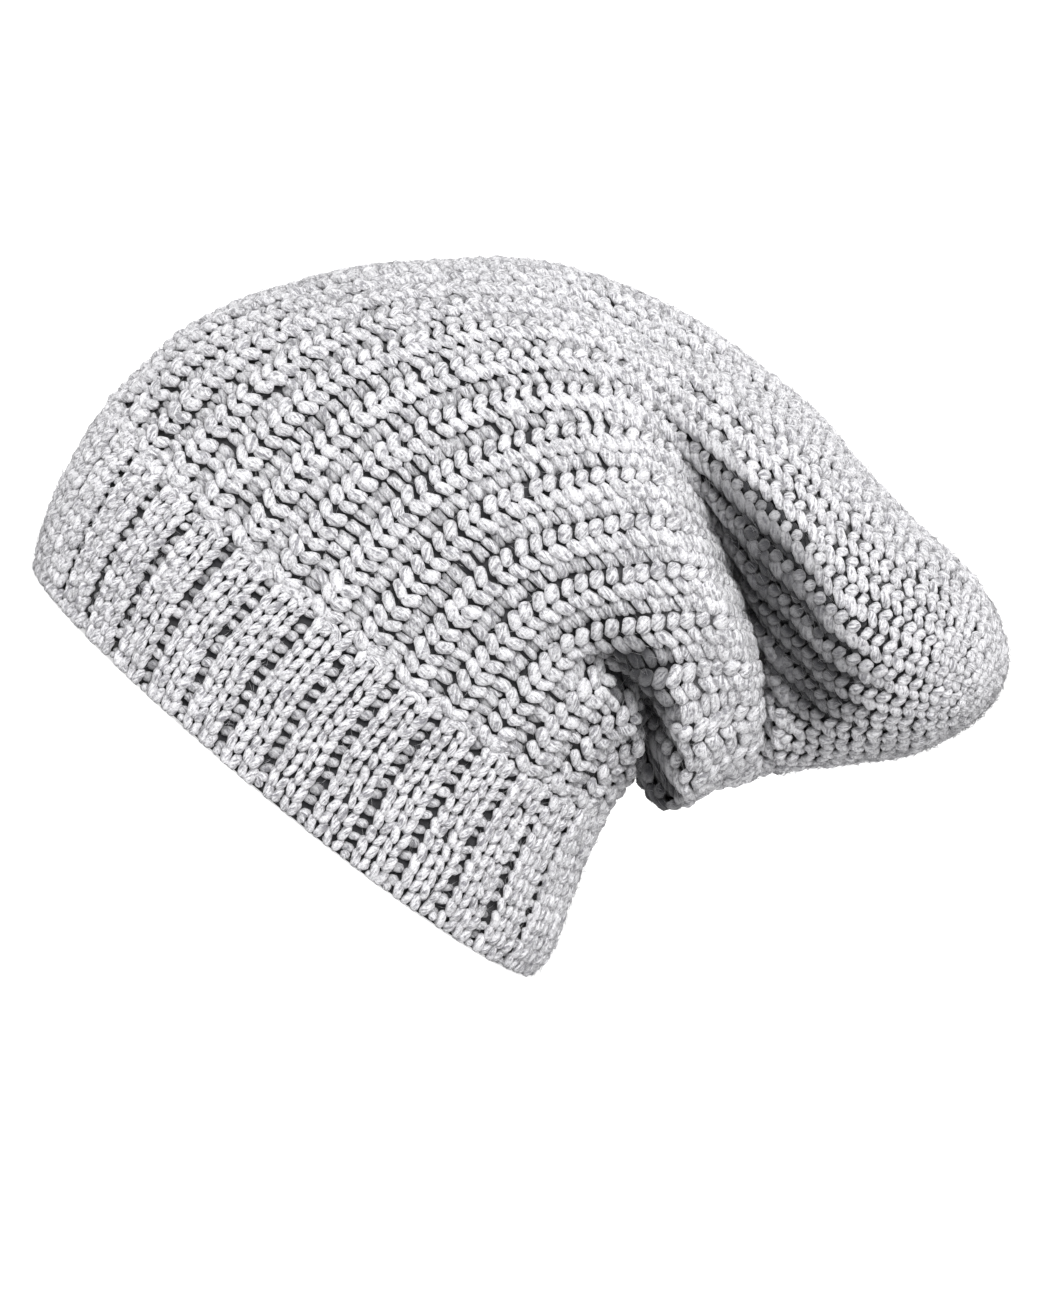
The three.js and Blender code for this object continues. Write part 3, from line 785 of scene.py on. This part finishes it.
purl = {
    "across": 0.5 + 0.46 * (bump_way - 0.5),
    "along": CROWN_PITCH * (0.12 + 0.22 * bump_arch + 0.16 * (bump_way - 0.5)),
    "height": -2.15 + 1.25 * bump_arch,
    "radius": bump_radius(1.7),
    "flat": 0.95,
    "middle": 0.5,
    "close": 0.0,
    "sink": 1.6,
    "uneven": 1.7,
}
purl_foot = dict(purl, across=0.49 + 0.42 * (bump_way - 0.5),
                 along=CROWN_PITCH * (0.80 - 0.14 * bump_arch),
                 height=-2.3 + 0.9 * bump_arch, radius=bump_radius(1.35))
lay_stitches("crown_purls", crown_cloth, crown_rows, purl, 13, sides=6)
lay_stitches("crown_purl_feet", crown_cloth, crown_rows, purl_foot, 14, sides=5)

# %% [markdown]
# ## The stitches of the band
#
# The band is knitted two rib, one purl, more tightly: each rib has two columns of slim, steep
# V stitches side by side, and the purls lie in a narrow dark groove.

# %% Columns of the band
BAND_RIB_WIDTH = 15.4
BAND_PITCH = 4.5
band_finish = ("band_knit", "ribbed_brim", band_yarn)
band_cloth = (band_face, band_turns, band_lengths, BAND_RIB_WIDTH, band_shade, band_finish)
band_rows = rows_on(band_lengths, BAND_PITCH, 2.2, 0.0)


def band_leg(foot, head, radius):
    """A steep leg from its foot to its head, both as shares of the rib's width."""
    return {
        "across": foot + (head - foot) * leg_way ** 0.9,
        "along": BAND_PITCH * (-0.45 + 1.2 * leg_way),
        "height": -0.5 + 0.7 * np.sin(np.pi * leg_way ** 0.75) - 0.7 * leg_way ** 3,
        "radius": radius * leg_blunt,
        "flat": 0.9,
        "middle": (foot + head) / 2,
        "close": 0.0,
        "sink": 0.0,
        "uneven": 1.0,
    }


# Foot and head as shares of the rib's width, radius in millimetres, and seed
BAND_LEGS = {
    "band_outer_left_legs": (-0.250, -0.335, 1.60, 21),
    "band_inner_left_legs": (-0.145, -0.060, 1.45, 22),
    "band_inner_right_legs": (0.145, 0.060, 1.45, 23),
    "band_outer_right_legs": (0.250, 0.335, 1.55, 24),
}
for name, (foot, head, radius, seed) in BAND_LEGS.items():
    lay_stitches(name, band_cloth, band_rows, band_leg(foot, head, radius), seed)

# %% The purl bumps of the band
band_purl = {
    "across": 0.5 + 0.26 * (bump_way - 0.5),
    "along": BAND_PITCH * (0.2 + 0.15 * bump_arch + 0.45 * (bump_way - 0.5)),
    "height": -2.2 + 0.9 * bump_arch,
    "radius": bump_radius(1.45),
    "flat": 0.9,
    "middle": 0.5,
    "close": 0.0,
    "sink": 0.0,
    "uneven": 1.8,
}
lay_stitches("band_purls", band_cloth, band_rows, band_purl, 25, sides=6)

# %% [markdown]
# ## The edge and the join
#
# The cast-on edge is a row of short bumps, a little uneven. Where the band ends, each of its
# ribs closes in an arched loop, and a row of loose slanting stitches leads over to the ribs
# of the crown, which stand a third of a rib aside.

# %% Rim edge
ONE_ROW = 1e3  # a pitch longer than any rib, so that only one row has room
edge_bump = {
    "across": 0.12 * (bump_way - 0.5),
    "along": 0.5 * bump_arch,
    "height": -1.5 + 0.8 * bump_arch,
    "radius": bump_radius(1.35, least=0.15),
    "flat": 1.0,
    "middle": 0.0,
    "close": 0.0,
    "sink": 0.0,
    "uneven": 1.4,
}
edge_rows = rows_on(band_lengths, ONE_ROW, 1.35, 0.0, np.array([-0.3, -0.1, 0.1, 0.3, 0.5]))
lay_stitches("rim_edge", band_cloth, edge_rows, edge_bump, 31)

# %% Caps of the ribs
CAP_AT_MM = 53.6  # along the rib, close to the band's last row
CAP_OVERHANG_MM = 20.0  # how far past the end of a shorter rib its cap may still stand
rib_cap = {
    "across": 0.66 * (bump_way - 0.5),
    "along": -1.6 + 3.0 * bump_arch,
    "height": -0.9 + 0.9 * bump_arch,
    "radius": bump_radius(1.55),
    "flat": 0.9,
    "middle": 0.0,
    "close": 0.0,
    "sink": 0.0,
    "uneven": 1.8,
}
cap_rows = rows_on(band_lengths, ONE_ROW, CAP_AT_MM, -CAP_OVERHANG_MM)
lay_stitches("rib_caps", band_cloth, cap_rows, rib_cap, 32)

# %% Joining row
joining = {
    "across": 0.13 * (bump_way - 0.4),
    "along": -1.9 + 4.6 * bump_way,
    "height": -1.9 + 1.2 * bump_arch,
    "radius": bump_radius(1.45),
    "flat": 0.9,
    "middle": 0.0,
    "close": 0.0,
    "sink": 0.0,
    "uneven": 2.0,
}
join_rows = rows_on(crown_lengths, ONE_ROW, 0.4, 0.0, np.array([-0.4, -0.2, 0.0, 0.2, 0.4]))
lay_stitches("joining_row", crown_cloth, join_rows, joining, 33)

# %% [markdown]
# ## Loose hairs
#
# Soft wool sheds a halo of loose hairs, which blurs the outline and the edges of the
# stitches. Each hair leaves the yarn at a random place, runs a few millimetres in a random
# direction and rises out of the cloth with a bend.

# %% Hairs
HAIR_RADIUS = 0.1
HAIR_RINGS = 4
HAIR_SIDES = 3
HAIR_REACH = (2.5, 6.0)
HAIR_BEND = 1.5
HAIR_FOOT = 1.0  # where it leaves the yarn, above the face of the cloth
HAIR_RISE = (0.2, 2.4)
HAIR_RISE_POWER = 1.4
HAIR_END_MARGINS = (2, 4)  # free of hairs at the lower and the upper end of a rib
HAIR_PAINTED_SHADE = 0.6
CROWN_HAIRS = 10500
BAND_HAIRS = 3500


def lay_hairs(name, cloth, count, seed):
    """Lays thin tapered tubes, one for each hair: its start is a random place of the cloth,
    its course is a random angle in the cloth with a sideways bend that grows with the square
    of the way, and its height grows with the way to the rise power."""
    face, turns, lengths, rib_width, lost_light, finish = cloth
    random = np.random.default_rng(seed)
    way = np.linspace(0, 1, HAIR_RINGS)[None]
    rib = random.integers(0, len(turns), count)
    room = lengths[rib, -1:] - sum(HAIR_END_MARGINS)
    start = random.random((count, 1)) * room + HAIR_END_MARGINS[0]
    angle = random.uniform(0, 2 * np.pi, (count, 1))
    ahead = random.uniform(*HAIR_REACH, (count, 1)) * way
    aside = random.uniform(-HAIR_BEND, HAIR_BEND, (count, 1)) * way ** 2
    across = random.uniform(-0.5, 0.5, (count, 1))
    across = across + (np.cos(angle) * ahead - np.sin(angle) * aside) / rib_width
    along = start + np.sin(angle) * ahead + np.cos(angle) * aside
    at = places_at(lengths, np.repeat(rib[:, None], HAIR_RINGS, 1),
                   np.clip(along, 0, lengths[rib, -1:]))
    turn = turns[rib][:, None] + across * RIB_STEP
    normal = outward(face, turn, at)
    height = HAIR_FOOT + random.uniform(*HAIR_RISE, (count, 1)) * way ** HAIR_RISE_POWER
    paths = face(turn, at) + normal * height[..., None]
    radii = HAIR_RADIUS * (1.1 - way) * np.ones((count, 1))
    points, faces, uv = tubes(paths, radii, 1.0, normal, HAIR_SIDES)
    each = len(points) // count
    # Painted shade: hairs in the folds are mixed towards the shade grey by the light the folds
    # take.
    lost = np.repeat(np.clip(lost_light(turn, at).mean(1), 0, 1), each)
    values = {"shade": np.repeat(random.random(count), each), "depth": HAIR_PAINTED_SHADE * lost}
    new_piece(name, points, faces, finish, uv, values)


lay_hairs("crown_hairs", crown_cloth, CROWN_HAIRS, 41)
lay_hairs("band_hairs", band_cloth, BAND_HAIRS, 42)

# %% [markdown]
# ## The cloth behind the stitches
#
# Between the stitches one sees the shaded backs of the loops. A closed wall fills that place:
# its outside lies just under the yarn and dips in the grooves, and its inside is the smooth
# inner face of the hat. Its colour is painted shade: dark outside, darker in the folds and
# lighter on the stretched ridges, and only a little dark inside. Near the tip the wall thins
# out, because the cloth is gathered there.

# %% Walls
INSIDE_DARKNESS = 0.1


def wall(name, outer, inner, depth, finish):
    """A closed wall from two grids of points (rows, sides, 3): the outer grid faces out and
    the inner grid faces in, joined by a ring of faces at the lower and at the upper edge.
    Depth is how much painted shade each point of the outer grid gets, 0 to 1."""
    rows, sides = outer.shape[:2]
    k = np.arange(sides)
    after = (k + 1) % sides
    base = sides * np.arange(rows - 1)[:, None]
    strip = np.stack([base + k, base + after, base + sides + after, base + sides + k], -1)
    out_faces = strip.reshape(-1, 4)
    inside = rows * sides
    in_faces = out_faces[:, ::-1] + inside
    low = np.column_stack([k, inside + k, inside + after, after])
    top = sides * (rows - 1) + low[:, [0, 3, 2, 1]]
    faces = np.concatenate([out_faces, in_faces, low, top])
    points = np.concatenate([outer.reshape(-1, 3), inner.reshape(-1, 3)])
    depths = np.concatenate([depth.ravel(), np.full(inside, INSIDE_DARKNESS)])
    values = {"shade": np.full(len(points), 0.5), "depth": depths}
    new_piece(name, points, [faces], finish, np.zeros((faces.size, 2)), values)


def inset(face, turns, places, depth):
    """A grid of the face, a row for each place, moved in by a depth in millimetres."""
    grid = np.broadcast_to(depth, (len(places), len(turns)))[..., None]
    return face(turns, places) - outward(face, turns, places) * grid


# %% The wall behind the band
BACK_DEPTH = 1.7
GROOVE_DEPTH = 1.4
WALL_SIDES = 6 * RIB_COUNT
BAND_WALL_ROWS = 12
# Painted shade of the wall behind the band's stitches.
BAND_WALL_PAINTED_SHADE = 0.88
band_round = 2 * np.pi * np.arange(WALL_SIDES) / WALL_SIDES
band_places = np.linspace(0, 1, BAND_WALL_ROWS)[:, None]
in_groove = bell((band_round / (2 * np.pi) * RIB_COUNT + 0.5) % 1 - 0.5)
back_depth = BACK_DEPTH + GROOVE_DEPTH * in_groove
wall("band_backing",
     inset(band_face, band_round, band_places, back_depth),
     inset(band_face, band_round, band_places, KNIT_THICKNESS),
     np.full((BAND_WALL_ROWS, WALL_SIDES), BAND_WALL_PAINTED_SHADE), band_finish)

# %% The wall behind the crown
INSIDE_EASE = 0.04  # folds are this much wider on the inside, as in the solid
# Painted shade of the wall behind the crown: dark all over, more by the light the folds take, less
# on the stretched ridges.
CROWN_WALL_PAINTED_SHADE = 0.84
CROWN_WALL_FOLD_PAINTED_SHADE = 0.6
TIP_FADE_LENGTH = 0.03  # over the last of the crown the wall thins out towards the tip
TIP_FADE_LEAST = 0.05
near_tip = np.linspace(0.91, 0.9995, 14)
crown_places = np.concatenate([np.linspace(0, 0.9, 64), near_tip])[:, None]
crown_round = band_round + RIB_STEP * CROWN_RIB_SHIFT
reaching_in = tuple(fold for fold in CROWN_FOLDS.values() if fold[7] >= 0 and fold[8] >= 0)


def eased_face(turn, at):
    """The crown's face with only the folds that reach in, each a little wider."""
    return crown_face(turn, at, reaching_in, INSIDE_EASE)


fade = np.clip((1 - crown_places) / TIP_FADE_LENGTH, TIP_FADE_LEAST, 1)
crown_wall_fold_shade = CROWN_WALL_FOLD_PAINTED_SHADE * crown_shade(crown_round, crown_places)
wall("crown_backing",
     inset(crown_face, crown_round, crown_places, fade * back_depth),
     inset(eased_face, crown_round, crown_places, fade * KNIT_THICKNESS),
     np.clip(CROWN_WALL_PAINTED_SHADE + crown_wall_fold_shade, 0, 1), crown_finish)

# %% [markdown]
# ## Floor and light
#
# The hat stands on a plain white floor under soft light: a bright sky all round, one large
# light in front and above, a weak one behind for the far side, and a weak one low in front
# for the parts of the tail that face down.

# %% Floor
FLOOR_GREY = (0.6, 0.6, 0.6)
FLOOR_GLOW = 0.65


def floor_disc(radius, sides):
    """A flat disc: the middle point and a ring of points at the radius. It is grey to the
    light and glows a little to the camera, so that it looks white round the hat."""
    angle = 2 * np.pi * np.arange(sides) / sides
    ring = np.column_stack([radius * np.cos(angle), radius * np.sin(angle), 0 * angle])
    points = np.concatenate([np.zeros((1, 3)), ring])
    k = np.arange(sides)
    faces = np.column_stack([np.zeros(sides, int), 1 + k, 1 + (k + 1) % sides])
    mesh = bpy.data.meshes.new("floor")
    mesh.from_pydata(points.tolist(), [], faces.tolist())
    floor = bpy.data.objects.new("floor", mesh)
    bpy.context.collection.objects.link(floor)
    material = bpy.data.materials.new("floor_white")
    material.use_nodes = True
    shader = material.node_tree.nodes["Principled BSDF"]
    shader.inputs["Base Color"].default_value = (*FLOOR_GREY, 1)
    shader.inputs["Roughness"].default_value = 1.0
    shader.inputs["Specular IOR Level"].default_value = 0.0
    shader.inputs["Emission Color"].default_value = (1, 1, 1, 1)
    path = material.node_tree.nodes.new("ShaderNodeLightPath")
    glow = math_node(material.node_tree, "MULTIPLY", path.outputs["Is Camera Ray"], FLOOR_GLOW)
    material.node_tree.links.new(glow, shader.inputs["Emission Strength"])
    mesh.materials.append(material)


floor_disc(radius=8.0, sides=96)

# %% Lights


def sky_light(seen, lit):
    """A sky that looks white to the camera and lights the hat less than it looks."""
    world = bpy.data.worlds.new("studio")
    world.use_nodes = True
    tree = world.node_tree
    path = tree.nodes.new("ShaderNodeLightPath")
    strength = tree.nodes.new("ShaderNodeMapRange")
    strength.inputs["To Min"].default_value = lit
    strength.inputs["To Max"].default_value = seen
    link(tree, path, "Is Camera Ray", strength, "Value")
    link(tree, strength, "Result", tree.nodes["Background"], "Strength")
    tree.nodes["Background"].inputs["Color"].default_value = (1, 1, 1, 1)
    bpy.context.scene.world = world


def far_light(name, towards, width, strength):
    """A far round light: the direction towards it, its width in degrees and its strength."""
    data = bpy.data.lights.new(name, "SUN")
    data.angle = math.radians(width)
    data.energy = strength
    lamp = bpy.data.objects.new(name, data)
    bpy.context.collection.objects.link(lamp)
    lamp.rotation_euler = Vector(towards).to_track_quat("Z", "Y").to_euler()


sky_light(seen=1.2, lit=0.76)
far_light("key", towards=(-0.16, -0.84, 0.50), width=20, strength=2.65)
far_light("fill", towards=(0.30, 0.85, 0.45), width=40, strength=1.2)
far_light("low", towards=(0.35, -0.93, 0.08), width=40, strength=0.6)
bpy.context.scene.view_settings.view_transform = "Standard"
